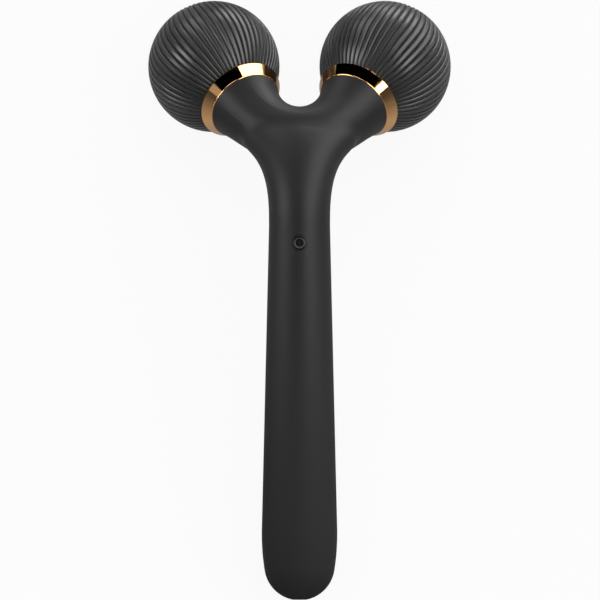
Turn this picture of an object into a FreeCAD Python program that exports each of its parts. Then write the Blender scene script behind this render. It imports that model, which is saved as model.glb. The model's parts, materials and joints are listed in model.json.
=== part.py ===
import FreeCAD, Part
import Sketcher
import math
import os
from types import SimpleNamespace

V = FreeCAD.Vector
X_AXIS = V(1, 0, 0)
Y_AXIS = V(0, 1, 0)
Z_AXIS = V(0, 0, 1)

# Driving dimensions, in millimetres and degrees
# Handle frame: tip of the grip at the origin, +Y up the stem, +Z out of the button side
SIZES = {
    # outline of the straight stem
    "tip_radius": 9.36,
    "swell_rise": 0.67,
    "swell_bow": 61.0,
    "waist_radius": 8.11,
    "waist_height": 99.5,
    "wall": 2.0,
    # neck that bends back and the yoke that carries the two arms
    "neck_rise": 13.9,
    "lean_angle": 50.3,
    "spread_angle": 27.1,
    "arm_length": 31.47,
    "arm_end_radius": 9.89,
    "yoke_radius": 7.9,
    "yoke_tail": 1.4,
    "neck_flare": 8.8,
    "shoulder_step": 0.6,
    "neck_depth_step": 0.7,
    "crotch_fillet": 12.0,
    "seam_drop": 0.6,
    "seam_bend": 15.8,
    # fits
    "seat_gap": 0.02,
    "running_gap": 0.03,
    "end_play": 0.15,
    "loose_gap": 0.3,
    # ball
    "ball_gap": 1.13,
    "ball_radius": 17.5,
    "ball_skin": 1.6,
    "ball_neck_inset": 2.9,
    "rib_count": 60,
    "groove_depth": 0.38,
    "rib_land": 0.8,
    "groove_end_latitude": 70.0,
    "swirl_angle": 35.0,
    # trim ring
    "ring_flare": 1.8,
    "ring_width": 3.05,
    "ring_lip": 0.12,
    "ring_bead": 0.36,
    "ring_round": 0.12,
    "ring_dish_gap": 1.1,
    "ring_edge": 1.53,
    "ring_floor": 1.03,
    "spigot_radius": 6.0,
    "spigot_length": 1.2,
    # axle and its bearings
    "axle_radius": 2.5,
    "axle_shoulder_radius": 3.2,
    "axle_flange_radius": 4.4,
    "axle_flange": 0.8,
    "axle_thread_radius": 2.0,
    "axle_tail": 4.4,
    "axle_tip": 1.85,
    "axle_chamfer": 0.4,
    "plug_depth": 9.0,
    "nut_radius": 3.9,
    "nut_height": 2.4,
    "bush_wall": 1.5,
    "inner_bush_length": 6.0,
    "outer_bush_length": 5.5,
    "bore_depth": 6.0,
    "clip_radius": 3.3,
    "clip_groove_radius": 2.0,
    "clip_width": 0.6,
    "clip_sweep": 300.0,
    "collar_radius": 5.2,
    "collar_depth": 2.6,
    "collar_flange_radius": 6.2,
    "collar_flange": 0.8,
    "seal_radius": 5.4,
    "seal_thickness": 0.9,
    # button
    "button_drop": 5.0,
    "button_radius": 1.52,
    "button_dish_radius": 1.03,
    "button_stand": 0.25,
    "button_dish": 0.45,
    "button_gap": 0.08,
    "button_flange_radius": 2.3,
    "button_flange": 0.6,
    "button_travel": 0.4,
    # control board and switch
    "board_overhang": 2.2,
    "board_length": 34.0,
    "board_clearance": 1.15,
    "board_thickness": 1.0,
    "board_depth": 4.11,
    "switch_width": 3.5,
    "switch_height": 1.4,
    "plunger_radius": 0.75,
    "plunger_rest": 0.2,
    "controller_width": 5.0,
    "regulator_width": 3.0,
    "lamp_width": 1.6,
    "chip_height": 0.9,
    "screw_radius": 0.6,
    "screw_head_radius": 1.3,
    "screw_head": 0.8,
    "screw_depth": 2.4,
    # battery
    "battery_setback": 4.5,
    "battery_gap": 3.5,
    "battery_room": 1.16,
    "battery_button_radius": 2.0,
    "battery_button": 0.8,
    "pad_half_width": 3.0,
    "pad_inset": 6.0,
    # vibration motor
    "motor_gap": 2.5,
    "motor_length": 9.0,
    "motor_drop": 0.8,
    "sleeve_wall": 1.0,
    "sleeve_inset": 1.0,
    "shaft_radius": 0.5,
    "shaft_depth": 7.0,
    "weight_gap": 0.6,
    "weight_step": 0.4,
    "weight_width": 2.8,
    "weight_sweep": 180.0,
    # charging socket in the tip
    "port_radius": 1.25,
    "port_length": 8.5,
    "nose_radius": 1.85,
    "nose_recess": 0.3,
    "socket_radius": 3.0,
    "socket_setback": 1.2,
    "socket_flange": 1.0,
    "socket_floor": 2.2,
    "gasket_thickness": 0.5,
    # chassis behind the battery and under the board
    "trough_wall": 1.2,
    "cup_gap": 0.11,
    "rib_width": 2.0,
    "deck_thickness": 1.8,
    "deck_inset": 0.5,
    "lead_radius": 0.35,
    "lead_run": 1.2,
}

doc = FreeCAD.newDocument("facial_roller")
sheet = doc.addObject("Spreadsheet::Sheet", "sizes")
for row, (name, number) in enumerate(SIZES.items(), start=1):
    sheet.set(f"A{row}", name)
    sheet.set(f"B{row}", str(number))
    sheet.setAlias(f"B{row}", name)
doc.recompute()


class Size:
    """A length that knows its number and the sheet expression it comes from."""

    def __init__(self, value, text):
        self.value = value
        self.text = text

    def __float__(self):
        return self.value

    def __neg__(self):
        return Size(-self.value, f"(-{self.text})")

    def __add__(self, other):
        other = as_size(other)
        return Size(self.value + other.value, f"({self.text} + {other.text})")

    def __sub__(self, other):
        other = as_size(other)
        return Size(self.value - other.value, f"({self.text} - {other.text})")

    def __mul__(self, other):
        other = as_size(other)
        return Size(self.value * other.value, f"({self.text} * {other.text})")

    def __truediv__(self, other):
        other = as_size(other)
        return Size(self.value / other.value, f"({self.text} / {other.text})")

    __radd__ = __add__
    __rmul__ = __mul__


def as_size(number):
    if isinstance(number, Size):
        return number
    return Size(float(number), repr(float(number)))


def leg(hypotenuse, side):
    """The other short side of a right triangle."""
    square = hypotenuse * hypotenuse - side * side
    return Size(math.sqrt(square.value), f"sqrt({square.text})")


size = SimpleNamespace(**{name: Size(float(sheet.get(name)), f"sizes.{name}") for name in SIZES})

# Sizes that follow from the driving ones
size.swell_radius = size.tip_radius + size.swell_rise
size.junction_height = size.waist_height + size.neck_rise
size.yoke_reach = size.neck_rise + size.yoke_tail
size.ball_reach = size.arm_length + size.ball_gap + size.ball_radius
size.ball_neck = size.ball_radius - size.ball_neck_inset
size.ring_rim_radius = size.arm_end_radius + size.ring_flare
size.button_height = size.waist_height - size.button_drop
size.board_end = size.button_height + size.board_overhang
size.board_start = size.board_end - size.board_length
size.waist_hollow = size.waist_radius - size.wall
size.board_top = size.waist_hollow - size.board_depth
size.board_bottom = size.board_top - size.board_thickness
size.board_half_width = leg(size.waist_hollow - size.board_clearance, size.board_top)
size.tip_hollow = size.tip_radius - size.wall
size.socket_flange_start = size.wall + size.socket_setback
size.gasket_start = size.socket_flange_start - size.gasket_thickness
size.socket_flange_radius = leg(size.tip_hollow, size.tip_radius - size.socket_flange_start) - size.loose_gap
size.gasket_radius = leg(size.tip_hollow, size.tip_radius - size.gasket_start) - size.end_play
size.socket_end = size.nose_recess + size.port_length + size.socket_floor
size.battery_radius = size.tip_hollow - size.trough_wall - size.battery_room
size.battery_start = size.socket_end + size.battery_setback
size.battery_end = size.board_start - size.battery_gap
size.motor_start = size.board_end + size.motor_gap
size.motor_end = size.motor_start + size.motor_length
size.sleeve_radius = size.waist_hollow - size.cup_gap - size.trough_wall - size.motor_drop
size.motor_radius = size.sleeve_radius - size.sleeve_wall
size.weight_radius = size.motor_radius - size.weight_step

mm = SimpleNamespace(**{name: length.value for name, length in vars(size).items()})


# Sketch, turning and padding helpers

def origin_plane(body, role):
    return next(plane for plane in body.Origin.OriginFeatures if plane.Role == role)


def arc_between(start, end, bow):
    """Arc shorter than a half turn; a positive bow has its centre left of the way from start to end."""
    chord = end - start
    middle = (start + end) * 0.5
    left = V(-chord.y, chord.x, 0).normalize()
    rise = math.sqrt(bow * bow - chord.Length ** 2 / 4)
    centre = middle + left * math.copysign(rise, bow)
    first, last = (start, end) if bow > 0 else (end, start)
    first_angle = math.atan2(first.y - centre.y, first.x - centre.x)
    last_angle = math.atan2(last.y - centre.y, last.x - centre.x)
    return Part.ArcOfCircle(Part.Circle(centre, Z_AXIS, abs(bow)), first_angle, last_angle)


def pin_coordinate(sketch, kind, axis, curve, end, distance):
    """Tie one coordinate of a corner to the sketch's axis or to a sheet size."""
    if not isinstance(distance, Size) and distance == 0:
        sketch.addConstraint(Sketcher.Constraint("PointOnObject", curve, end, axis))
        return
    distance = as_size(distance)
    index = sketch.addConstraint(Sketcher.Constraint(kind, -1, 1, curve, end, distance.value))
    sketch.setExpression(f"Constraints[{index}]", distance.text)


def draw_outline(sketch, corners):
    """Closed outline through the corners; a third entry bows the side that starts there, as a signed arc radius."""
    points = [V(float(corner[0]), float(corner[1]), 0) for corner in corners]
    ends = []
    for side, start in enumerate(points):
        end = points[(side + 1) % len(points)]
        if len(corners[side]) > 2:
            bow = corners[side][2]
            curve = sketch.addGeometry(arc_between(start, end, bow.value), False)
            radius = sketch.addConstraint(Sketcher.Constraint("Radius", curve, abs(bow.value)))
            sketch.setExpression(f"Constraints[{radius}]", f"abs({bow.text})")
            ends.append((curve, 1, 2) if bow.value > 0 else (curve, 2, 1))
        else:
            curve = sketch.addGeometry(Part.LineSegment(start, end), False)
            ends.append((curve, 1, 2))
    for side, (curve, start_end, last_end) in enumerate(ends):
        following = ends[(side + 1) % len(ends)]
        sketch.addConstraint(Sketcher.Constraint("Coincident", curve, last_end, following[0], following[1]))
        pin_coordinate(sketch, "DistanceX", -2, curve, start_end, corners[side][0])
        pin_coordinate(sketch, "DistanceY", -1, curve, start_end, corners[side][1])


def draw_hole(sketch, centre, radius):
    circle = sketch.addGeometry(Part.Circle(V(float(centre[0]), float(centre[1]), 0), Z_AXIS, float(radius)), False)
    index = sketch.addConstraint(Sketcher.Constraint("Radius", circle, float(radius)))
    sketch.setExpression(f"Constraints[{index}]", as_size(radius).text)
    pin_coordinate(sketch, "DistanceX", -2, circle, 3, centre[0])
    pin_coordinate(sketch, "DistanceY", -1, circle, 3, centre[1])


def new_sketch(body, role, lift=None):
    sketch = body.newObject("Sketcher::SketchObject", f"{body.Label}_sketch")
    sketch.AttachmentSupport = (origin_plane(body, role), [""])
    sketch.MapMode = "FlatFace"
    if lift is not None:
        sketch.AttachmentOffset = FreeCAD.Placement(V(0, 0, float(lift)), FreeCAD.Rotation())
        sketch.setExpression("AttachmentOffset.Base.z", as_size(lift).text)
    return sketch


def turned(label, corners, sweep=None):
    """A body turned about its own Z axis from an outline in radius and height."""
    body = doc.addObject("PartDesign::Body", label)
    sketch = new_sketch(body, "XZ_Plane")
    draw_outline(sketch, corners)
    turn = body.newObject("PartDesign::Revolution", f"{label}_turn")
    turn.Profile = sketch
    turn.ReferenceAxis = (sketch, ["V_Axis"])
    turn.Angle = 360.0
    if sweep is not None:
        turn.Angle = float(sweep)
        turn.setExpression("Angle", sweep.text)
    return body


def tube(label, inner, outer, low, high, sweep=None):
    """A plain ring turned about Z."""
    return turned(label, [(inner, low), (outer, low), (outer, high), (inner, high)], sweep=sweep)


def padded(label, corners, low, height, holes=()):
    """A body padded up from height low along its own Z axis."""
    body = doc.addObject("PartDesign::Body", label)
    sketch = new_sketch(body, "XY_Plane", low)
    draw_outline(sketch, corners)
    for centre, radius in holes:
        draw_hole(sketch, centre, radius)
    pad = body.newObject("PartDesign::Pad", f"{label}_pad")
    pad.Profile = sketch
    pad.Length = float(height)
    pad.setExpression("Length", as_size(height).text)
    return body


def rectangle(half_width, low, high):
    return [(-half_width, low), (half_width, low), (half_width, high), (-half_width, high)]


def shaped(label, shape):
    """A sub-part whose form follows other surfaces and is built straight from solids."""
    feature = doc.addObject("Part::Feature", label)
    feature.Shape = shape
    return feature


# Frames: every sub-part is built in a frame of its own and seated in the handle frame

lean = math.radians(mm.lean_angle)
spread = math.radians(mm.spread_angle)
junction = V(0, mm.junction_height, 0)
yoke_direction = V(0, math.cos(lean), -math.sin(lean))


def arm_direction(side):
    return X_AXIS * (side * math.sin(spread)) + yoke_direction * math.cos(spread)


def arm_frame(side):
    """Origin at the ball's centre, +Z along the axle and away from the handle."""
    direction = arm_direction(side)
    return FreeCAD.Placement(junction + direction * mm.ball_reach, FreeCAD.Rotation(Z_AXIS, direction))


def stem_frame(depth=0.0):
    """Turned pieces on the stem: their Z runs up the stem, depth below its axis."""
    return FreeCAD.Placement(V(0, 0, -depth), FreeCAD.Rotation(X_AXIS, -90))


def rest_placement():
    """Lay the roller on its two balls and its tip, bottom centre of its box at the origin."""
    ball = junction + arm_direction(1) * mm.ball_reach
    along = ball.y - mm.tip_radius
    drop = -ball.z
    tilt = math.atan2(drop, along) + math.asin((mm.ball_radius - mm.tip_radius) / math.hypot(along, drop))
    turn = FreeCAD.Rotation(X_AXIS, math.degrees(tilt))
    tip_centre = turn.multVec(Y_AXIS * mm.tip_radius)
    ball_centre = turn.multVec(ball)
    low_end = tip_centre.y - mm.tip_radius
    high_end = ball_centre.y + mm.ball_radius
    return FreeCAD.Placement(V(0, -(low_end + high_end) / 2, mm.tip_radius - tip_centre.z), turn)


rest = rest_placement()
SIDES = {"left": -1, "right": 1}
in_handle = FreeCAD.Placement()
seats = {}


def seat(feature, frame):
    seats[feature.Name] = frame


# Handle form: turned stem, bent neck and forked yoke, all offset inwards by the same inset

def stem_points(inset):
    """Corners and arc middles of the half outline, as (radius, height)."""
    tip = mm.tip_radius - inset
    bow = mm.swell_bow - inset
    bow_x = mm.swell_radius - mm.swell_bow
    bow_y = mm.tip_radius + math.sqrt((mm.swell_bow - mm.tip_radius) ** 2 - bow_x ** 2)
    tip_end = math.atan2(mm.tip_radius - bow_y, -bow_x)
    waist = V(mm.waist_radius - inset, mm.waist_height, 0)
    to_waist = waist - V(bow_x, bow_y, 0)
    taper = math.atan2(to_waist.y, to_waist.x) - math.acos(bow / to_waist.Length)
    tip_middle = (tip_end - math.pi / 2) / 2
    bow_middle = (tip_end + taper) / 2

    def on_tip(angle):
        return V(tip * math.cos(angle), mm.tip_radius + tip * math.sin(angle), 0)

    def on_bow(angle):
        return V(bow_x + bow * math.cos(angle), bow_y + bow * math.sin(angle), 0)

    return on_tip(-math.pi / 2), on_tip(tip_middle), on_tip(tip_end), on_bow(bow_middle), on_bow(taper), waist


def stem_solid(inset):
    pole, tip_middle, tip_end, bow_middle, taper_start, waist = stem_points(inset)
    axis_top = V(0, mm.waist_height, 0)
    edges = [
        Part.Arc(pole, tip_middle, tip_end).toShape(),
        Part.Arc(tip_end, bow_middle, taper_start).toShape(),
        Part.makeLine(taper_start, waist),
        Part.makeLine(waist, axis_top),
        Part.makeLine(axis_top, pole),
    ]
    stem = Part.Face(Part.Wire(edges)).revolve(V(0, 0, 0), Y_AXIS, 360)
    stem.rotate(V(0, 0, 0), Y_AXIS, 90)
    return stem


def ellipse_wire(centre, normal, half_width, half_depth):
    """Oval section that starts at its rear, clear of the seam between the shells."""
    rear = normal.cross(X_AXIS)
    if half_width >= half_depth:
        ellipse = Part.Ellipse(centre + X_AXIS * half_width, centre + rear * half_depth, centre)
        return Part.Wire(ellipse.toShape(math.pi / 2, math.pi * 5 / 2))
    ellipse = Part.Ellipse(centre + rear * half_depth, centre - X_AXIS * half_width, centre)
    return Part.Wire(ellipse.toShape())


neck_tangent = mm.junction_height - mm.waist_height
neck_bend = neck_tangent / math.tan(lean / 2)
NECK_STEPS = 8
NECK_WIDTH_POWER = 2.7
NECK_DEPTH_POWER = 1.5
YOKE_STEPS = 9
YOKE_FLARE_POWER = 5


def yoke_stations():
    """Centre, direction and share of the way out along one arm: a parabola tangent to both arms' axes."""
    middle = mm.yoke_reach
    bend_x = middle * math.tan(spread)
    end_x = mm.arm_length * math.sin(spread)
    end_q = mm.arm_length * math.cos(spread)
    stations = []
    for step in range(YOKE_STEPS + 1):
        share = step / YOKE_STEPS
        x = 2 * share * (1 - share) * bend_x + share ** 2 * end_x
        q = (1 - share ** 2) * middle + share ** 2 * end_q
        direction = X_AXIS * (2 * (1 - 2 * share) * bend_x + 2 * share * end_x)
        direction = direction + yoke_direction * (2 * share * (end_q - middle))
        stations.append((junction + X_AXIS * x + yoke_direction * q, direction.normalize(), share))
    return stations


def arm_radius(share):
    return mm.yoke_radius + (mm.arm_end_radius - mm.yoke_radius) * share ** YOKE_FLARE_POWER


def yoke_solid(inset, overrun=0.0):
    """Round arms that flare to their ends; overrun lets a hollow break out through them."""
    right = [(centre, direction, arm_radius(share) - inset) for centre, direction, share in yoke_stations()]
    if overrun:
        centre, direction, end_radius = right[-1]
        right.append((centre + direction * overrun, direction, end_radius))
    left = [(V(-c.x, c.y, c.z), V(d.x, -d.y, -d.z), r) for c, d, r in reversed(right[1:])]
    wires = [Part.Wire(Part.Circle(c, d, r).toShape()) for c, d, r in left + right]
    return Part.makeLoft(wires, True, False)


def shoulder_width():
    """Half width over the arms' outer sides, level with the end of the neck."""
    sides = []
    for centre, direction, share in yoke_stations():
        outward = X_AXIS * direction.dot(yoke_direction) - yoke_direction * direction.x
        side = centre + outward * arm_radius(share)
        sides.append((side.x, (side - junction).dot(yoke_direction) - mm.yoke_reach))
    for (low_x, low), (high_x, high) in zip(sides, sides[1:]):
        if low <= 0 < high:
            return low_x - low * (high_x - low_x) / (high - low)
    raise ValueError("the arms do not reach past the neck")


def neck_stations():
    """Centre, direction and share of the way, from the waist to the middle of the yoke."""
    tail = mm.yoke_reach - neck_tangent
    bend_share = neck_bend * lean / (neck_bend * lean + tail)
    stations = []
    for step in range(NECK_STEPS + 1):
        angle = lean * step / NECK_STEPS
        centre = V(0, mm.waist_height + neck_bend * math.sin(angle), -neck_bend * (1 - math.cos(angle)))
        stations.append((centre, V(0, math.cos(angle), -math.sin(angle)), bend_share * step / NECK_STEPS))
    bend_end, direction, _ = stations[-1]
    stations.append((bend_end + direction * tail, direction, 1.0))
    return stations


def neck_solid(inset):
    """Oval neck that flares until it meets the arms' shoulders and stays a little shallower than the arms."""
    widest = shoulder_width() - mm.shoulder_step
    end_depth = mm.yoke_radius - mm.neck_depth_step
    wires = []
    for centre, direction, share in neck_stations():
        half_width = min(mm.waist_radius + mm.neck_flare * share ** NECK_WIDTH_POWER, widest)
        half_depth = mm.waist_radius + (end_depth - mm.waist_radius) * share ** NECK_DEPTH_POWER
        wires.append(ellipse_wire(centre, direction, half_width - inset, half_depth - inset))
    return Part.makeLoft(wires, True, False)


def shared_edges(solid, one, other):
    """Edges of a fused solid that lie on both of the solids it was made from."""
    found = []
    for edge in solid.Edges:
        middle = Part.Vertex(edge.valueAt((edge.FirstParameter + edge.LastParameter) / 2))
        on_both = one.Shells[0].distToShape(middle)[0] < 1e-3 and other.Shells[0].distToShape(middle)[0] < 1e-3
        if on_both:
            found.append(edge)
    return found


def handle_solid():
    """Whole outer form, with the neck blended into the fork."""
    neck = neck_solid(0.0)
    yoke = yoke_solid(0.0)
    fork = neck.fuse(yoke).removeSplitter()
    fork = fork.makeFillet(mm.crotch_fillet, shared_edges(fork, neck, yoke))
    return fork.fuse(stem_solid(0.0)).removeSplitter()


def hollow_solid(inset):
    """Room inside the shells; it breaks out through both arm ends."""
    return stem_solid(inset).multiFuse([neck_solid(inset), yoke_solid(inset, overrun=1.0)]).removeSplitter()


FAR = 80.0


def rear_region():
    """Everything behind the parting surface: just behind the stem's axis, then set back so the arms hide the seam."""
    start = V(0, -FAR, -mm.seam_drop)
    bend_start = V(0, mm.waist_height, -mm.seam_drop)
    bend_centre = bend_start - Z_AXIS * mm.seam_bend

    def on_bend(angle):
        return bend_centre + V(0, math.sin(angle), math.cos(angle)) * mm.seam_bend

    bend_end = on_bend(lean)
    end = bend_end + yoke_direction * FAR
    behind_end = V(0, end.y, -2 * FAR)
    behind_start = V(0, -FAR, -2 * FAR)
    edges = [
        Part.makeLine(start, bend_start),
        Part.Arc(bend_start, on_bend(lean / 2), bend_end).toShape(),
        Part.makeLine(bend_end, end),
        Part.makeLine(end, behind_end),
        Part.makeLine(behind_end, behind_start),
        Part.makeLine(behind_start, start),
    ]
    face = Part.Face(Part.Wire(edges))
    face.translate(X_AXIS * -FAR)
    return face.extrude(X_AXIS * (2 * FAR))


def stem_cylinder(radius, low, high, depth=0.0):
    return Part.makeCylinder(radius, high - low, V(0, low, -depth), Y_AXIS)


def block(half_width, y_low, y_high, z_low, z_high):
    return Part.makeBox(2 * half_width, y_high - y_low, z_high - z_low, V(-half_width, y_low, z_low))


# Front and rear shells

def stem_surface(height):
    """Outer radius of the straight stem at a height above the tip."""
    taper_start, waist = stem_points(0.0)[4:]
    return waist.x + (taper_start.x - waist.x) * (waist.y - height) / (waist.y - taper_start.y)


def make_shells():
    casing = handle_solid().cut(hollow_solid(mm.wall))
    casing = casing.cut(stem_cylinder(mm.nose_radius + mm.seat_gap, -1.0, mm.socket_flange_start))
    button_hole = Part.makeCylinder(mm.button_radius + mm.button_gap, FAR, V(0, mm.button_height, 0))
    behind = rear_region()
    seat(shaped("front_shell", casing.cut(behind).cut(button_hole)), in_handle)
    seat(shaped("rear_shell", casing.common(behind)), in_handle)


# Chassis, battery, board and leads inside the stem

SCREW_SHARES = (0.155, 0.65)
CHIP_SHARES = {"controller_width": 0.3, "regulator_width": 0.47, "lamp_width": 0.77}


def along_board(share):
    return size.board_start + size.board_length * share


def make_chassis():
    """Trough for the battery, deck for the board and cup for the motor, on ribs that fit the rear shell."""
    hollow = stem_solid(mm.wall + mm.seat_gap)
    battery_room = stem_cylinder(mm.battery_radius + mm.seat_gap, mm.battery_start, mm.battery_end)
    socket_room = stem_cylinder(mm.socket_radius + mm.seat_gap, 0, mm.socket_end + mm.loose_gap)
    trough_start = mm.socket_flange_start + mm.socket_flange + mm.rib_width
    rear_half = block(FAR, 0, FAR * 2, -FAR, 0)
    trough = stem_cylinder(mm.battery_radius + mm.trough_wall, trough_start, mm.board_start)
    trough = trough.cut(stem_cylinder(mm.battery_radius + mm.seat_gap, trough_start, mm.battery_end))
    battery_middle = (mm.battery_start + mm.battery_end) / 2
    ribs = []
    for low in (trough_start, mm.socket_end + mm.loose_gap, battery_middle, mm.battery_end):
        ribs.append(hollow.common(block(FAR, low, low + mm.rib_width, -FAR, 0)))
    body = trough.multiFuse(ribs).common(rear_half).cut(battery_room).cut(socket_room)
    deck_bottom = mm.board_bottom - mm.deck_thickness
    deck = block(mm.board_half_width - mm.deck_inset, mm.battery_end, mm.board_end, deck_bottom, mm.board_bottom)
    feet = []
    for low in (mm.board_start, (mm.board_start + mm.board_end) / 2, mm.board_end - mm.rib_width):
        feet.append(hollow.common(block(FAR, low, low + mm.rib_width, -FAR, mm.board_bottom)))
    cup_radius = mm.sleeve_radius + mm.trough_wall
    cup_end = mm.motor_end - 2 * mm.sleeve_inset
    cup = stem_cylinder(cup_radius, mm.board_end - mm.rib_width, cup_end, mm.motor_drop)
    cup = cup.common(block(FAR, 0, FAR * 2, -FAR, deck_bottom))
    body = body.multiFuse([deck, cup] + feet).removeSplitter()
    body = body.cut(stem_cylinder(mm.sleeve_radius + mm.seat_gap, mm.board_end, mm.motor_end, mm.motor_drop))
    for share in SCREW_SHARES:
        top = V(0, along_board(share).value, mm.board_bottom)
        body = body.cut(Part.makeCylinder(mm.screw_radius + mm.seat_gap, mm.deck_thickness, top, -Z_AXIS))
    seat(shaped("chassis", body), in_handle)


def make_battery():
    top = size.battery_end
    seat(turned("battery_cell", [
        (0, size.battery_start),
        (size.battery_radius, size.battery_start),
        (size.battery_radius, top - size.battery_button),
        (size.battery_button_radius, top - size.battery_button),
        (size.battery_button_radius, top),
        (0, top),
    ]), stem_frame())
    hollow = stem_solid(mm.wall + mm.seat_gap)
    pad_start = mm.battery_start + mm.pad_inset
    pad = block(mm.pad_half_width, pad_start, mm.battery_end - mm.pad_inset, 0, FAR)
    pad = pad.common(hollow).cut(stem_cylinder(mm.battery_radius + mm.seat_gap, 0, FAR))
    seat(shaped("battery_pad", pad), in_handle)


def make_board():
    holes = [((0, along_board(share)), size.screw_radius + size.seat_gap) for share in SCREW_SHARES]
    outline = rectangle(size.board_half_width, size.board_start, size.board_end)
    seat(padded("control_board", outline, size.board_bottom, size.board_thickness, holes=holes), in_handle)
    half_switch = size.switch_width / 2
    outline = rectangle(half_switch, size.button_height - half_switch, size.button_height + half_switch)
    hole = ((0, size.button_height), size.plunger_radius + size.running_gap)
    seat(padded("tact_switch", outline, size.board_top, size.switch_height, holes=[hole]), in_handle)


def make_board_fittings():
    chips = []
    for name, share in CHIP_SHARES.items():
        half = getattr(mm, name) / 2
        middle = along_board(share).value
        chips.append(block(half, middle - half, middle + half, mm.board_top, mm.board_top + mm.chip_height))
    seat(shaped("board_chips", Part.makeCompound(chips)), in_handle)
    screws = []
    for share in SCREW_SHARES:
        place = V(0, along_board(share).value, mm.board_top)
        head = Part.makeCylinder(mm.screw_head_radius, mm.screw_head, place)
        shank = Part.makeCylinder(mm.screw_radius, mm.screw_depth, place, -Z_AXIS)
        screws.append(head.fuse(shank).removeSplitter())
    seat(shaped("board_screws", Part.makeCompound(screws)), in_handle)


def make_button():
    crown = stem_surface(mm.button_height)
    surface = Size(crown, repr(crown))
    top = surface + size.button_stand
    dish = top - size.button_dish
    inner_wall = leg(surface - size.wall, size.button_flange_radius)
    flange_top = inner_wall - size.loose_gap
    flange_bottom = flange_top - size.button_flange
    rounding = (size.button_radius - size.button_dish_radius) / 3
    seat(turned("button_cap", [
        (0, flange_bottom),
        (size.button_flange_radius, flange_bottom),
        (size.button_flange_radius, flange_top),
        (size.button_radius, flange_top),
        (size.button_radius, top - rounding),
        (size.button_radius - rounding, top),
        (size.button_dish_radius + rounding, top),
        (size.button_dish_radius, dish),
        (0, dish),
    ]), FreeCAD.Placement(V(0, mm.button_height, 0), FreeCAD.Rotation()))
    plunger_low = size.board_top + size.button_travel + size.plunger_rest
    seat(turned("switch_plunger", [
        (0, plunger_low),
        (size.plunger_radius, plunger_low),
        (size.plunger_radius, flange_bottom),
        (0, flange_bottom),
    ]), FreeCAD.Placement(V(0, mm.button_height, 0), FreeCAD.Rotation()))


def make_motor():
    frame = stem_frame(mm.motor_drop)
    end = size.motor_end
    bore = size.shaft_radius + size.running_gap
    shaft_start = end - size.shaft_depth
    weight_start = end + size.weight_gap
    weight_end = weight_start + size.weight_width
    seat(turned("motor_can", [
        (0, size.motor_start),
        (size.motor_radius, size.motor_start),
        (size.motor_radius, end),
        (bore, end),
        (bore, shaft_start - size.end_play),
        (0, shaft_start - size.end_play),
    ]), frame)
    low = size.motor_start + size.sleeve_inset
    high = end - size.sleeve_inset
    seat(tube("motor_sleeve", size.motor_radius + size.seat_gap, size.sleeve_radius, low, high), frame)
    seat(turned("motor_shaft", [
        (0, shaft_start),
        (size.shaft_radius, shaft_start),
        (size.shaft_radius, weight_end + size.weight_gap),
        (0, weight_end + size.weight_gap),
    ]), frame)
    inner = size.shaft_radius + size.seat_gap
    outer = size.weight_radius
    seat(tube("eccentric_weight", inner, outer, weight_start, weight_end, sweep=size.weight_sweep), frame)


def make_socket():
    frame = stem_frame()
    flange_end = size.socket_flange_start + size.socket_flange
    seat(turned("charging_socket", [
        (size.port_radius, size.nose_recess),
        (size.nose_radius, size.nose_recess),
        (size.nose_radius, size.socket_flange_start),
        (size.socket_flange_radius, size.socket_flange_start),
        (size.socket_flange_radius, flange_end),
        (size.socket_radius, flange_end),
        (size.socket_radius, size.socket_end),
        (0, size.socket_end),
        (0, size.nose_recess + size.port_length),
        (size.port_radius, size.nose_recess + size.port_length),
    ]), frame)
    inner = size.nose_radius + size.seat_gap
    seat(tube("socket_gasket", inner, size.gasket_radius, size.gasket_start, size.socket_flange_start), frame)


BEND_SHARE = 0.45


def lead(points):
    """Round lead through the points, its corners rounded by arcs."""
    edges = []
    start = points[0]
    for before, corner, after in zip(points, points[1:], points[2:]):
        to_before = (before - corner).normalize()
        to_after = (after - corner).normalize()
        reach = BEND_SHARE * min((before - corner).Length, (after - corner).Length)
        arc_start = corner + to_before * reach
        arc_end = corner + to_after * reach
        half = to_before.getAngle(to_after) / 2
        radius = reach * math.tan(half)
        inward = (to_before + to_after).normalize()
        middle = corner + inward * (radius / math.sin(half) - radius)
        edges.append(Part.makeLine(start, arc_start))
        edges.append(Part.Arc(arc_start, middle, arc_end).toShape())
        start = arc_end
    edges.append(Part.makeLine(start, points[-1]))
    path = Part.Wire(edges)
    section = Part.Wire(Part.Circle(points[0], points[1] - points[0], mm.lead_radius).toShape())
    return path.makePipeShell([section], True, False)


def pair_of_leads(label, points):
    """The same lead on both sides of the middle plane."""
    leads = []
    for side in SIDES.values():
        leads.append(lead([V(side * p.x, p.y, p.z) for p in points]))
    seat(shaped(label, Part.makeCompound(leads)), in_handle)


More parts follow.
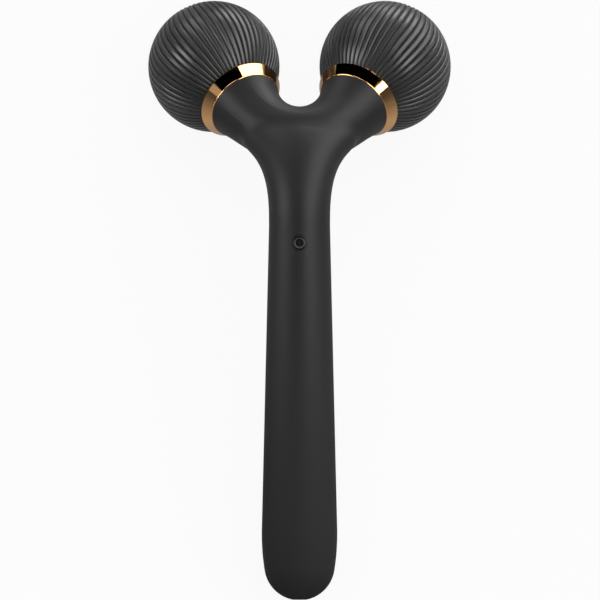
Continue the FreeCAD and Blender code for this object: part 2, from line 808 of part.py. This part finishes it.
def make_leads():
    on_board = mm.board_top + mm.lead_radius + mm.seat_gap
    spacing = mm.board_half_width / 3
    outer = spacing * 2
    landing = mm.board_start + mm.lead_run
    landing_end = landing + 2 * mm.lead_run
    rim_middle = (size.battery_radius + size.battery_button_radius) / 2
    high = leg(rim_middle, as_size(spacing)).value
    pair_of_leads("battery_leads", [
        V(spacing, mm.battery_end - mm.battery_button + mm.seat_gap, high),
        V(spacing, mm.battery_end + mm.lead_run, high),
        V(spacing, landing, on_board),
        V(spacing, landing_end, on_board),
    ])
    terminal = mm.motor_radius / 2
    pair_of_leads("motor_leads", [
        V(terminal, mm.motor_start - mm.seat_gap, terminal - mm.motor_drop),
        V(terminal, mm.motor_start - mm.lead_run, terminal - mm.motor_drop),
        V(outer, mm.board_end + mm.lead_radius, on_board + mm.lead_radius),
        V(outer, mm.board_end - mm.lead_run, on_board + mm.seat_gap),
    ])
    beside = (mm.battery_radius + mm.lead_radius + mm.loose_gap) * math.sqrt(0.5)
    pair_of_leads("socket_leads", [
        V(spacing, mm.socket_end + mm.seat_gap, spacing),
        V(spacing, mm.socket_end + mm.lead_run, spacing),
        V(beside, mm.battery_start - mm.lead_run, beside),
        V(beside, mm.battery_end + mm.lead_radius, beside),
        V(outer, landing, on_board),
        V(outer, landing_end, on_board),
    ])


# One arm's fixed pieces: plug, axle, nut, clip, seal and trim ring

arm_end = size.arm_length - size.ball_reach
spigot_end = arm_end + size.spigot_length
plug_back = arm_end - size.plug_depth
flange_end = spigot_end + size.axle_flange
bore_start = -size.ball_neck + size.collar_depth
clip_start = size.bore_depth + size.end_play
clip_end = clip_start + size.clip_width
bush_radius = size.axle_radius + size.running_gap + size.bush_wall
BEAD_ROUNDNESS = 0.56


def make_plug(name, side):
    frame = arm_frame(side)
    back = plug_back.value
    region = Part.makeCylinder(mm.arm_end_radius, mm.plug_depth, V(0, 0, back))
    region.Placement = frame
    plug = yoke_solid(mm.wall + mm.seat_gap).common(region)
    spigot = Part.makeCylinder(mm.spigot_radius, mm.spigot_length + mm.wall, V(0, 0, arm_end.value - mm.wall))
    spigot.Placement = frame
    bore = Part.makeCylinder(mm.axle_shoulder_radius + mm.seat_gap, FAR, V(0, 0, back - FAR / 2))
    bore.Placement = frame
    seat(shaped(f"{name}_arm_plug", plug.fuse(spigot).removeSplitter().cut(bore)), in_handle)


def make_axle(name, frame):
    tip = clip_end + size.axle_tip
    seat(turned(f"{name}_axle", [
        (0, plug_back - size.axle_tail),
        (size.axle_thread_radius, plug_back - size.axle_tail),
        (size.axle_thread_radius, plug_back),
        (size.axle_shoulder_radius, plug_back),
        (size.axle_shoulder_radius, spigot_end),
        (size.axle_flange_radius, spigot_end),
        (size.axle_flange_radius, flange_end),
        (size.axle_shoulder_radius, flange_end),
        (size.axle_shoulder_radius, bore_start - size.end_play),
        (size.axle_radius, bore_start - size.end_play),
        (size.axle_radius, clip_start),
        (size.clip_groove_radius, clip_start),
        (size.clip_groove_radius, clip_end),
        (size.axle_radius, clip_end),
        (size.axle_radius, tip - size.axle_chamfer),
        (size.axle_radius - size.axle_chamfer, tip),
        (0, tip),
    ]), frame)
    half = size.nut_radius / 2
    flat = leg(size.nut_radius, half)
    hexagon = [(size.nut_radius, 0), (half, flat), (-half, flat), (-size.nut_radius, 0), (-half, -flat), (half, -flat)]
    hole = ((0, 0), size.axle_thread_radius + size.seat_gap)
    nut = padded(f"{name}_axle_nut", hexagon, plug_back - size.nut_height, size.nut_height, holes=[hole])
    seat(nut, frame)
    clip_inner = size.clip_groove_radius + size.seat_gap
    clip_low = clip_start + size.seat_gap
    clip_high = clip_end - size.seat_gap
    clip = tube(f"{name}_retaining_clip", clip_inner, size.clip_radius, clip_low, clip_high, sweep=size.clip_sweep)
    seat(clip, frame)
    seal_inner = size.axle_shoulder_radius + size.seat_gap
    seal_end = flange_end + size.seal_thickness
    seat(tube(f"{name}_neck_seal", seal_inner, size.seal_radius, flange_end, seal_end), frame)


def make_trim_ring(name, frame):
    """Flared ring: a round bead at the arm, a cone out to a rounded rim and a dish that clears the ball."""
    dish = size.ball_radius + size.ring_dish_gap
    rim = arm_end + size.ring_width
    inner = size.spigot_radius + size.seat_gap
    seat(turned(f"{name}_trim_ring", [
        (inner, arm_end),
        (size.arm_end_radius, arm_end, size.ring_bead * BEAD_ROUNDNESS),
        (size.arm_end_radius + size.ring_lip, arm_end + size.ring_bead),
        (size.ring_rim_radius, rim - size.ring_round, size.ring_round),
        (size.ring_rim_radius - size.ring_round, rim),
        (size.ring_rim_radius - size.ring_edge, rim, -dish),
        (inner, arm_end + size.ring_floor),
    ]), frame)


# One ball: ribbed shell over a core with two bushes and a collar

GROOVE_STEPS = 8
GROOVE_RISE = 0.4
GROOVE_OVERRUN = 6.0


def groove_tool(start_latitude, swirl):
    """V groove on the ball: along the meridian on the arm's side, swirling on the outer half, fading at its end."""
    end_latitude = math.radians(mm.groove_end_latitude)
    pitch = 2 * math.pi * mm.ball_radius / mm.rib_count
    slope = (pitch - mm.rib_land) / 2 / mm.groove_depth
    wires = []
    for step in range(GROOVE_STEPS + 1):
        latitude = start_latitude + (end_latitude - start_latitude) * step / GROOVE_STEPS
        outer = max(latitude, 0.0) / (math.pi / 2)
        longitude = swirl * outer ** 2
        turn_rate = 2 * swirl * outer / (math.pi / 2)
        narrowing = math.cos(latitude)
        out = V(narrowing * math.cos(longitude), narrowing * math.sin(longitude), math.sin(latitude))
        east = V(-math.sin(longitude), math.cos(longitude), 0)
        north = out.cross(east)
        across = out.cross((north + east * (narrowing * turn_rate)).normalize())
        depth = mm.groove_depth * narrowing if step < GROOVE_STEPS else 0.0
        half_width = slope * (depth + GROOVE_RISE)
        top = out * (mm.ball_radius + GROOVE_RISE)
        corners = [out * (mm.ball_radius - depth), top + across * half_width, top - across * half_width]
        wires.append(Part.makePolygon(corners + corners[:1]))
    return Part.makeLoft(wires, True, False)


def ribbed_shell():
    """Shell of the left ball, grooved all round; the right ball's is its mirror image."""
    neck_latitude = math.asin(mm.ball_neck / mm.ball_radius)
    neck_cut = Part.makeBox(4 * mm.ball_radius, 4 * mm.ball_radius, 2 * mm.ball_radius)
    neck_cut.translate(V(-2 * mm.ball_radius, -2 * mm.ball_radius, -mm.ball_neck - 2 * mm.ball_radius))
    ball = Part.makeSphere(mm.ball_radius).cut(Part.makeSphere(mm.ball_radius - mm.ball_skin)).cut(neck_cut)
    tool = groove_tool(-neck_latitude - math.radians(GROOVE_OVERRUN), math.radians(mm.swirl_angle))
    count = round(mm.rib_count)
    tools = []
    for index in range(count):
        groove = tool.copy()
        groove.rotate(V(0, 0, 0), Z_AXIS, 360 * (index + 0.5) / count)
        tools.append(groove)
    return ball.cut(tools)


def make_ball_inside(name, frame):
    core = size.ball_radius - size.ball_skin
    bore = bush_radius + size.seat_gap
    pocket_radius = size.clip_radius + size.loose_gap
    pocket_end = clip_end + size.axle_tip + size.loose_gap
    collar_seat = size.collar_radius + size.seat_gap
    seat(turned(f"{name}_ball_core", [
        (0, core),
        (0, pocket_end),
        (pocket_radius, pocket_end),
        (pocket_radius, size.bore_depth),
        (bore, size.bore_depth),
        (bore, bore_start),
        (collar_seat, bore_start),
        (collar_seat, -size.ball_neck),
        (leg(core, size.ball_neck), -size.ball_neck, core),
    ]), frame)
    inner = size.axle_radius + size.running_gap
    inner_end = bore_start + size.inner_bush_length
    seat(tube(f"{name}_inner_bush", inner, bush_radius, bore_start, inner_end), frame)
    outer_start = size.bore_depth - size.outer_bush_length
    seat(tube(f"{name}_outer_bush", inner, bush_radius, outer_start, size.bore_depth), frame)
    collar_inner = size.axle_shoulder_radius + size.loose_gap
    flange_low = -size.ball_neck - size.collar_flange
    seat(turned(f"{name}_ball_collar", [
        (collar_inner, flange_low),
        (size.collar_flange_radius, flange_low),
        (size.collar_flange_radius, -size.ball_neck),
        (size.collar_radius, -size.ball_neck),
        (size.collar_radius, bore_start),
        (collar_inner, bore_start),
    ]), frame)


make_shells()
make_chassis()
make_battery()
make_board()
make_board_fittings()
make_button()
make_motor()
make_socket()
make_leads()
left_shell = ribbed_shell()
ball_shells = {"left": left_shell, "right": left_shell.mirror(V(0, 0, 0), X_AXIS)}
for side_name, side_sign in SIDES.items():
    side_frame = arm_frame(side_sign)
    seat(shaped(f"{side_name}_ball_shell", ball_shells[side_name]), side_frame)
    make_plug(side_name, side_sign)
    make_axle(side_name, side_frame)
    make_trim_ring(side_name, side_frame)
    make_ball_inside(side_name, side_frame)

for feature_name, own_frame in seats.items():
    doc.getObject(feature_name).Placement = rest.multiply(own_frame)
doc.recompute()

# Every object and every shape is checked before anything is written
for item in doc.Objects:
    if {"Invalid", "Error"} & set(item.State):
        raise RuntimeError(f"{item.Label} failed to build")
for feature_name in seats:
    shape = doc.getObject(feature_name).Shape
    if shape.isNull() or not shape.Solids or not shape.isValid():
        raise RuntimeError(f"{feature_name} has no valid solid")

os.makedirs("parts", exist_ok=True)
for feature_name in seats:
    feature = doc.getObject(feature_name)
    feature.Shape.exportStep(f"parts/{feature.Label}.step")

# Joint axes and mounts in the finished frame, for the record
for side_name, side_sign in SIDES.items():
    axle_point = rest.multVec(arm_frame(side_sign).Base)
    axle_axis = rest.Rotation.multVec(arm_direction(side_sign))
    print(side_name, "ball centre", axle_point, "axle", axle_axis)
print("button axis", rest.Rotation.multVec(-Z_AXIS), "at", rest.multVec(V(0, mm.button_height, mm.waist_radius)))
print("motor axis", rest.Rotation.multVec(Y_AXIS), "at", rest.multVec(V(0, mm.motor_end, -mm.motor_drop)))
print("port axis", rest.Rotation.multVec(-Y_AXIS), "mouth", rest.multVec(V(0, mm.nose_recess, 0)))
print("tilt", math.degrees(rest.Rotation.Angle))
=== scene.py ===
import json
import math

import bpy
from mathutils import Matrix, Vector


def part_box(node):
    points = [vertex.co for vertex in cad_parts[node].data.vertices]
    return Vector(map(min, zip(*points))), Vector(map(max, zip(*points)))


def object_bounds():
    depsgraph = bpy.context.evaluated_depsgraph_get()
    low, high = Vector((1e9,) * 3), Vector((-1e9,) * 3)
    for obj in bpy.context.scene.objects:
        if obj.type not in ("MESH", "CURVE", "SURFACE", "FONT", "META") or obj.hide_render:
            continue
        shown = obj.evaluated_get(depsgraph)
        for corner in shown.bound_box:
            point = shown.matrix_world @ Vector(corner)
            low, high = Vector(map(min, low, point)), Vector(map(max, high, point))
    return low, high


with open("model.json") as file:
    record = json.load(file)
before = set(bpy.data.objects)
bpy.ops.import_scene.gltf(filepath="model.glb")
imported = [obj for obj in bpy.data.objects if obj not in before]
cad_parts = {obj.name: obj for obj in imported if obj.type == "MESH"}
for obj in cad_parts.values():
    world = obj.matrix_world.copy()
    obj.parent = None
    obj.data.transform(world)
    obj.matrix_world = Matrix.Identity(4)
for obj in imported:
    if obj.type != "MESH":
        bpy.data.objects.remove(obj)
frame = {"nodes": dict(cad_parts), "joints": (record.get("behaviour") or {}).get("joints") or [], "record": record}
cad_low, cad_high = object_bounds()
nodes = frame["nodes"]
joints = {joint["name"]: joint for joint in frame["joints"]}
slots = {part["node"]: part["material_slot"] for part in frame["record"]["subparts"]}

# Tilt of the stem's axis above the floor, read from the motor that lies along it
STEM = Vector(joints["motor_spin"]["axis"]).normalized()
MOTOR = Vector(joints["motor_spin"]["pos_m"])
TILT = math.asin(STEM.z)

# Ends of the handle's change of gloss, along the stem from the motor's place
TIP = -0.108
HEAD = 0.004

# Ball's radius, and the depths under its surface where the painted shade in a groove is darkest and where a land
# starts
BALL_RADIUS = 0.0175
GROOVE_DEPTH = 0.0003
LAND_DEPTH = 0.00004

BUTTON_AXIS = Vector(joints["button_press"]["axis"]).normalized()
button_low, button_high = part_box("button_cap")
BUTTON_MIDDLE = (button_low + button_high) / 2
# Changes of tone round the button's axis, each from one radius to another, and where the gap's painted shade ends
# below. The dark dish, the dark cap outside its rim and the dark gap round the cap are painted shade.
DISH_FADE = (0.0005, 0.0009)
RIM_START = (0.00098, 0.00108)
RIM_END = (0.00164, 0.0015)
GAP_SHADE_FADE = (0.0016, 0.0026)
GAP_SHADE_DEPTH = (0.004, 0.005)

# Scale of the soft clouds of tone on moulded surfaces
CLOUD_SCALE = 60.0


# Shader helpers

def new_material(name):
    material = bpy.data.materials.new(name)
    material.use_nodes = True
    tree = material.node_tree
    tree.nodes.clear()
    output = tree.nodes.new("ShaderNodeOutputMaterial")
    shader = tree.nodes.new("ShaderNodeBsdfPrincipled")
    tree.links.new(shader.outputs["BSDF"], output.inputs["Surface"])
    return material, tree, shader


def plug(tree, value, socket):
    """Link a socket, or set a plain number or vector on it."""
    if isinstance(value, bpy.types.NodeSocket):
        tree.links.new(value, socket)
    else:
        socket.default_value = value


def object_point(tree):
    return tree.nodes.new("ShaderNodeTexCoord").outputs["Object"]


def noise(tree, scale, detail=3.0):
    node = tree.nodes.new("ShaderNodeTexNoise")
    node.inputs["Scale"].default_value = scale
    node.inputs["Detail"].default_value = detail
    tree.links.new(object_point(tree), node.inputs["Vector"])
    return node.outputs["Fac"]


def math_node(tree, operation, *values):
    node = tree.nodes.new("ShaderNodeMath")
    node.operation = operation
    for value, socket in zip(values, node.inputs):
        plug(tree, value, socket)
    return node.outputs["Value"]


def product(tree, *factors):
    total = factors[0]
    for factor in factors[1:]:
        total = math_node(tree, "MULTIPLY", total, factor)
    return total


def vector_node(tree, operation, output, *values):
    node = tree.nodes.new("ShaderNodeVectorMath")
    node.operation = operation
    for value, socket in zip(values, node.inputs):
        plug(tree, value, socket)
    return node.outputs[output]


def ramp(tree, value, from_low, from_high, to_low=0.0, to_high=1.0):
    """Smooth step from one output to another; from_low may be the greater end."""
    node = tree.nodes.new("ShaderNodeMapRange")
    node.interpolation_type = "SMOOTHSTEP"
    plug(tree, value, node.inputs["Value"])
    limits = {"From Min": from_low, "From Max": from_high, "To Min": to_low, "To Max": to_high}
    for name, number in limits.items():
        node.inputs[name].default_value = number
    return node.outputs["Result"]


def mix_colors(tree, factor, first, second):
    node = tree.nodes.new("ShaderNodeMix")
    node.data_type = "RGBA"
    plug(tree, factor, node.inputs["Factor"])
    for color, socket in ((first, node.inputs["A"]), (second, node.inputs["B"])):
        plug(tree, color if isinstance(color, bpy.types.NodeSocket) else (*color, 1.0), socket)
    return node.outputs["Result"]


def bump(tree, height, strength, distance):
    node = tree.nodes.new("ShaderNodeBump")
    node.inputs["Strength"].default_value = strength
    node.inputs["Distance"].default_value = distance
    tree.links.new(height, node.inputs["Height"])
    return node.outputs["Normal"]


# Materials

def moulded(name, dark, light, roughness, grain, grain_depth, metallic=0.0):
    """A surface with fine grain, soft clouds of tone and uneven gloss."""
    material, tree, shader = new_material(name)
    clouds = noise(tree, CLOUD_SCALE, 2.0)
    fine = noise(tree, grain, 2.0)
    tree.links.new(mix_colors(tree, clouds, dark, light), shader.inputs["Base Color"])
    tree.links.new(ramp(tree, clouds, 0.3, 0.7, *roughness), shader.inputs["Roughness"])
    tree.links.new(bump(tree, fine, 0.5, grain_depth), shader.inputs["Normal"])
    shader.inputs["Metallic"].default_value = metallic
    return material


def round_button(tree):
    """Distance from the button's axis, and depth below the middle of its cap."""
    point = vector_node(tree, "SUBTRACT", "Vector", object_point(tree), tuple(BUTTON_MIDDLE))
    sideways = vector_node(tree, "CROSS_PRODUCT", "Vector", point, tuple(BUTTON_AXIS))
    out = vector_node(tree, "LENGTH", "Value", sideways)
    depth = vector_node(tree, "DOT_PRODUCT", "Value", point, tuple(BUTTON_AXIS))
    return out, depth


def handle_material():
    """Soft-touch coating, matter from the head down to the tip, with painted shade darkening it in the gap round
    the button.
    """
    material, tree, shader = new_material("soft_touch")
    clouds = noise(tree, CLOUD_SCALE, 2.0)
    black = mix_colors(tree, clouds, (0.022, 0.022, 0.0223), (0.024, 0.024, 0.0243))
    out, depth = round_button(tree)
    # Painted shade: near black on the coating in and round the button's gap
    clear = math_node(tree, "MAXIMUM", ramp(tree, out, *GAP_SHADE_FADE), ramp(tree, depth, *GAP_SHADE_DEPTH))
    tree.links.new(mix_colors(tree, clear, (0.003, 0.003, 0.003), black), shader.inputs["Base Color"])
    from_motor = vector_node(tree, "SUBTRACT", "Vector", object_point(tree), tuple(MOTOR))
    along = vector_node(tree, "DOT_PRODUCT", "Value", from_motor, tuple(STEM))
    matt = ramp(tree, along, TIP, HEAD, 0.77, 0.46)
    tree.links.new(math_node(tree, "MULTIPLY_ADD", clouds, 0.04, matt), shader.inputs["Roughness"])
    tree.links.new(bump(tree, noise(tree, 4200.0, 2.0), 0.5, 0.00002), shader.inputs["Normal"])
    shader.inputs["Specular IOR Level"].default_value = 0.2
    return material


def ball_material(name, centre):
    """Satin black, matter down in the grooves, with painted shade darkening the grooves against the lands, which
    carry soft clouds of tone.
    """
    material, tree, shader = new_material(name)
    reach = vector_node(tree, "DISTANCE", "Value", object_point(tree), tuple(centre))
    land = ramp(tree, reach, BALL_RADIUS - GROOVE_DEPTH, BALL_RADIUS - LAND_DEPTH)
    clouds = noise(tree, 90.0, 2.0)
    clouded_land = mix_colors(tree, clouds, (0.035, 0.035, 0.0355), (0.041, 0.041, 0.0415))
    # Painted shade: near black down in the grooves, fading out towards the lands
    tree.links.new(mix_colors(tree, land, (0.002, 0.002, 0.002), clouded_land), shader.inputs["Base Color"])
    gloss = math_node(tree, "MULTIPLY_ADD", clouds, 0.06, ramp(tree, land, 0.0, 1.0, 0.75, 0.32))
    tree.links.new(gloss, shader.inputs["Roughness"])
    tree.links.new(bump(tree, noise(tree, 3500.0), 0.3, 0.00001), shader.inputs["Normal"])
    shader.inputs["Specular IOR Level"].default_value = 0.45
    return material


def ring_material():
    """Polished rose-gold plating, with a trace of unevenness in tone and gloss."""
    material, tree, shader = new_material("rose_gold")
    clouds = noise(tree, 140.0, 3.0)
    plating = mix_colors(tree, clouds, (0.76, 0.43, 0.185), (0.81, 0.46, 0.205))
    tree.links.new(plating, shader.inputs["Base Color"])
    tree.links.new(ramp(tree, noise(tree, 900.0), 0.3, 0.8, 0.03, 0.07), shader.inputs["Roughness"])
    shader.inputs["Metallic"].default_value = 1.0
    return material


def button_material():
    """Satin grey rim round a dish; painted shade makes the dish and the cap outside the rim near black, a little
    paler on the dish's floor.
    """
    material, tree, shader = new_material("button")
    out, _ = round_button(tree)
    rim = product(tree, ramp(tree, out, *RIM_START), ramp(tree, out, *RIM_END))
    # Painted shade: near black at the dish's wall and on the cap outside the rim, a little paler on the dish's
    # floor
    dish = mix_colors(tree, ramp(tree, out, *DISH_FADE), (0.02, 0.02, 0.02), (0.001, 0.001, 0.001))
    grain = noise(tree, 2500.0)
    grey = mix_colors(tree, grain, (0.09, 0.09, 0.092), (0.105, 0.105, 0.107))
    tree.links.new(mix_colors(tree, rim, dish, grey), shader.inputs["Base Color"])
    gloss = math_node(tree, "MULTIPLY_ADD", grain, 0.06, ramp(tree, rim, 0.0, 1.0, 0.9, 0.37))
    tree.links.new(gloss, shader.inputs["Roughness"])
    tree.links.new(bump(tree, grain, 0.3, 0.00001), shader.inputs["Normal"])
    shader.inputs["Specular IOR Level"].default_value = 0.1
    return material


# Small and inner pieces: dark tone, light tone, range of roughness, grain's scale and depth, metallic
MOULDED = {
    "inner_plastic": ((0.10, 0.10, 0.105), (0.13, 0.13, 0.135), (0.5, 0.6), 2500.0, 0.00002),
    "steel": ((0.52, 0.52, 0.54), (0.62, 0.62, 0.64), (0.22, 0.34), 1800.0, 0.00001, 1.0),
    "bush": ((0.78, 0.78, 0.74), (0.85, 0.85, 0.81), (0.35, 0.45), 2200.0, 0.00001),
    "seal": ((0.012, 0.012, 0.012), (0.02, 0.02, 0.02), (0.6, 0.75), 3000.0, 0.00002),
    "foam": ((0.02, 0.02, 0.021), (0.05, 0.05, 0.052), (0.8, 0.95), 1500.0, 0.0001),
    "board": ((0.008, 0.09, 0.03), (0.012, 0.12, 0.045), (0.3, 0.42), 1200.0, 0.00001),
    "chip": ((0.012, 0.012, 0.013), (0.02, 0.02, 0.021), (0.4, 0.5), 3000.0, 0.00001),
    "battery_can": ((0.02, 0.07, 0.2), (0.03, 0.09, 0.24), (0.25, 0.35), 900.0, 0.00001),
    "weight": ((0.3, 0.3, 0.31), (0.42, 0.42, 0.43), (0.4, 0.55), 2600.0, 0.00002, 1.0),
    "socket": ((0.008, 0.008, 0.008), (0.014, 0.014, 0.014), (0.3, 0.4), 3000.0, 0.00001),
    "lead": ((0.28, 0.02, 0.018), (0.34, 0.03, 0.025), (0.4, 0.5), 2500.0, 0.00001),
}
materials = {
    "soft_touch": handle_material(),
    "rose_gold": ring_material(),
    "button": button_material(),
}
for name, finish in MOULDED.items():
    materials[name] = moulded(name, *finish)

ball_materials = {}
for side in ("left", "right"):
    centre = Vector(joints[f"{side}_ball_spin"]["pos_m"])
    ball_materials[f"{side}_ball_shell"] = ball_material(f"{side}_ball_grip", centre)

for name, node in nodes.items():
    node.data.materials.clear()
    node.data.materials.append(ball_materials.get(name) or materials[slots[name]])

# Floor

FLOOR_REACH = 12.0
FLOOR_DROP = 0.0002
# Part of the floor's tone that takes the object's shadow, and the grey floor that lights the object
SHADOW_SHARE = 0.08
FLOOR_BOUNCE = (0.4, 0.4, 0.4)
# Painted pool of light on the floor that only reflections see, with a painted shadow under the stem and a painted
# glow behind the right ball
POOL = (0.0, 0.055, 0.0)
POOL_REACH = 0.07
POOL_EDGE = 0.28
STEM_SHADOW = (0.008, 0.05, 0.35, 1.0)
GLOW_POWER = 4.0
GLOW_X = ((-0.01, 0.02), (0.3, 0.2))
GLOW_Y = ((0.13, 0.18), (0.8, 0.5))

floor_mesh = bpy.data.meshes.new("floor")
floor_corners = [(-FLOOR_REACH, -FLOOR_REACH, 0), (FLOOR_REACH, -FLOOR_REACH, 0),
                 (FLOOR_REACH, FLOOR_REACH, 0), (-FLOOR_REACH, FLOOR_REACH, 0)]
floor_mesh.from_pydata(floor_corners, [], [(0, 1, 2, 3)])
floor = bpy.data.objects.new("floor", floor_mesh)
bpy.context.scene.collection.objects.link(floor)
floor.location.z = cad_low.z - FLOOR_DROP
floor_material, tree, shader = new_material("floor")
shader.inputs["Roughness"].default_value = 0.9
shader.inputs["Specular IOR Level"].default_value = 0.0
path = tree.nodes.new("ShaderNodeLightPath")
mirrored = math_node(tree, "MAXIMUM", path.outputs["Is Glossy Ray"],
                     path.outputs["Is Transmission Ray"])
seen = math_node(tree, "MAXIMUM", path.outputs["Is Camera Ray"], mirrored)
pale = mix_colors(tree, noise(tree, 3.0), (0.93, 0.93, 0.93), (0.95, 0.95, 0.95))
tree.links.new(mix_colors(tree, seen, FLOOR_BOUNCE, pale), shader.inputs["Base Color"])
# Emission: plain white to the camera, and the painted pool of light to reflections
white = tree.nodes.new("ShaderNodeEmission")
away = vector_node(tree, "DISTANCE", "Value", object_point(tree), POOL)
near = math_node(tree, "DIVIDE", POOL_REACH, math_node(tree, "ADD", away, POOL_REACH))
near = math_node(tree, "POWER", near, 2.0)
pool = math_node(tree, "MULTIPLY_ADD", near, 1.0 - POOL_EDGE, POOL_EDGE)
place = tree.nodes.new("ShaderNodeSeparateXYZ")
tree.links.new(object_point(tree), place.inputs["Vector"])
aside = math_node(tree, "ABSOLUTE", place.outputs["X"])
# Painted shadow under the stem, in what reflections see of the floor
pool = product(tree, pool, ramp(tree, aside, *STEM_SHADOW))
# Painted glow behind the right ball, which reflections show as sheen on the balls
glow = product(tree, GLOW_POWER,
               *(ramp(tree, place.outputs["X"], *edge) for edge in GLOW_X),
               *(ramp(tree, place.outputs["Y"], *edge) for edge in GLOW_Y))
pool = math_node(tree, "ADD", pool, glow)
lit = tree.nodes.new("ShaderNodeMix")
lit.inputs["A"].default_value = 1.0
tree.links.new(mirrored, lit.inputs["Factor"])
tree.links.new(pool, lit.inputs["B"])
tree.links.new(lit.outputs["Result"], white.inputs["Strength"])
blend = tree.nodes.new("ShaderNodeMixShader")
tree.links.new(math_node(tree, "MULTIPLY", seen, 1.0 - SHADOW_SHARE), blend.inputs["Fac"])
tree.links.new(shader.outputs["BSDF"], blend.inputs[1])
tree.links.new(white.outputs["Emission"], blend.inputs[2])
tree.links.new(blend.outputs["Shader"], tree.nodes["Material Output"].inputs["Surface"])
floor_mesh.materials.append(floor_material)

# World: plain soft light, brighter from the upper right, and a studio that only reflections see

RIGHT_POWER = 11.5
LEFT_POWER = 12.0
STRIP_POWER = 0.5
BACK_POWER = 4.5
LOW_POWER = 18.0
WALL_LEVELS = (0.11, 0.34)
SOFT_LEVELS = (0.35, 1.25)

world = bpy.data.worlds.new("studio")
bpy.context.scene.world = world
world.use_nodes = True
tree = world.node_tree
tree.nodes.clear()
output = tree.nodes.new("ShaderNodeOutputWorld")
background = tree.nodes.new("ShaderNodeBackground")
tree.links.new(background.outputs["Background"], output.inputs["Surface"])

# Directions as the photograph has them: x to the right, y up the stem, z to the camera
turn = tree.nodes.new("ShaderNodeVectorRotate")
turn.rotation_type = "X_AXIS"
turn.inputs["Angle"].default_value = -TILT
direction = tree.nodes.new("ShaderNodeTexCoord").outputs["Generated"]
tree.links.new(direction, turn.inputs["Vector"])
level = tree.nodes.new("ShaderNodeSeparateXYZ")
tree.links.new(direction, level.inputs["Vector"])
upward = level.outputs["Z"]
parts = tree.nodes.new("ShaderNodeSeparateXYZ")
tree.links.new(turn.outputs["Vector"], parts.inputs["Vector"])
x, y, z = (parts.outputs[axis] for axis in "XYZ")


def plane(*factors):
    """Signed distance of a direction from a plane through the middle of the studio."""
    total = 0.0
    for factor, axis in zip(factors, (x, y, z)):
        total = math_node(tree, "MULTIPLY_ADD", axis, factor, total)
    return total


# Limits of the softbox on the right
right_limit = ramp(tree, plane(-0.7, 0.64, 0.33), -0.36, -0.28)
left_limit = ramp(tree, plane(1.0, -0.5135, -0.0816), 0.0, 0.02)
low_limit = ramp(tree, plane(1.0, 0.5, 0.0), 0.45, 0.49)
right_box = product(tree, left_limit, low_limit, right_limit, ramp(tree, y, -0.12, -0.10),
                    ramp(tree, y, 0.0, 0.4, 1.0, 0.5), ramp(tree, y, 0.75, 0.95, 1.0, 0.4))
# Softbox on the left, with a fainter strip below it
left_box = product(tree, ramp(tree, x, -0.64, -0.68), ramp(tree, y, 0.04, 0.08),
                   ramp(tree, y, 0.46, 0.40), ramp(tree, z, 0.15, 0.25))
strip = product(tree, ramp(tree, x, -0.45, -0.55), ramp(tree, y, -0.26, -0.22), ramp(tree, y, 0.01, -0.01))
# Softboxes beyond the balls: one on the left, and a lower one on the right
back_box = product(tree, ramp(tree, x, -0.2, -0.35), ramp(tree, x, -0.8, -0.6),
                   ramp(tree, y, 0.7, 0.85), ramp(tree, z, 0.35, 0.1))
low_box = product(tree, ramp(tree, x, -0.05, 0.1), ramp(tree, x, 0.7, 0.5),
                  ramp(tree, y, 0.75, 0.85), ramp(tree, z, -0.12, -0.25))
# Walls that grow paler to the horizon, under a dark ceiling
ceiling = product(tree, ramp(tree, y, -0.01, 0.01), ramp(tree, z, -0.36, -0.28), right_limit)
walls = ramp(tree, upward, 0.6, 0.0, *WALL_LEVELS)
studio = product(tree, walls, math_node(tree, "SUBTRACT", 1.0, ceiling))
for box, power in ((right_box, RIGHT_POWER), (left_box, LEFT_POWER), (strip, STRIP_POWER),
                   (back_box, BACK_POWER), (low_box, LOW_POWER)):
    studio = math_node(tree, "MULTIPLY_ADD", box, power, studio)
soft = ramp(tree, plane(0.8, 0.6, 0.0), -0.9, 0.6, *SOFT_LEVELS)
path = tree.nodes.new("ShaderNodeLightPath")
strength = tree.nodes.new("ShaderNodeMix")
tree.links.new(soft, strength.inputs["A"])
tree.links.new(path.outputs["Is Glossy Ray"], strength.inputs["Factor"])
tree.links.new(studio, strength.inputs["B"])
tree.links.new(strength.outputs["Result"], background.inputs["Strength"])

# Camera at the photograph's angle, far off with a long lens

camera_data = bpy.data.cameras.new("camera")
camera = bpy.data.objects.new("camera", camera_data)
bpy.context.scene.collection.objects.link(camera)
bpy.context.scene.camera = camera
DISTANCE = 6.0
FRAME_WIDTH = 0.1595
TARGET = Vector((0.00013, -0.0003, 0.0148))
camera_data.sensor_width = 36.0
camera_data.lens = camera_data.sensor_width * DISTANCE / FRAME_WIDTH
toward = Vector((0.0, -math.sin(TILT), math.cos(TILT)))
camera.location = TARGET + toward * DISTANCE
camera.rotation_mode = "QUATERNION"
camera.rotation_quaternion = (-toward).to_track_quat("-Z", "Y")

bpy.context.scene.view_settings.view_transform = "Standard"
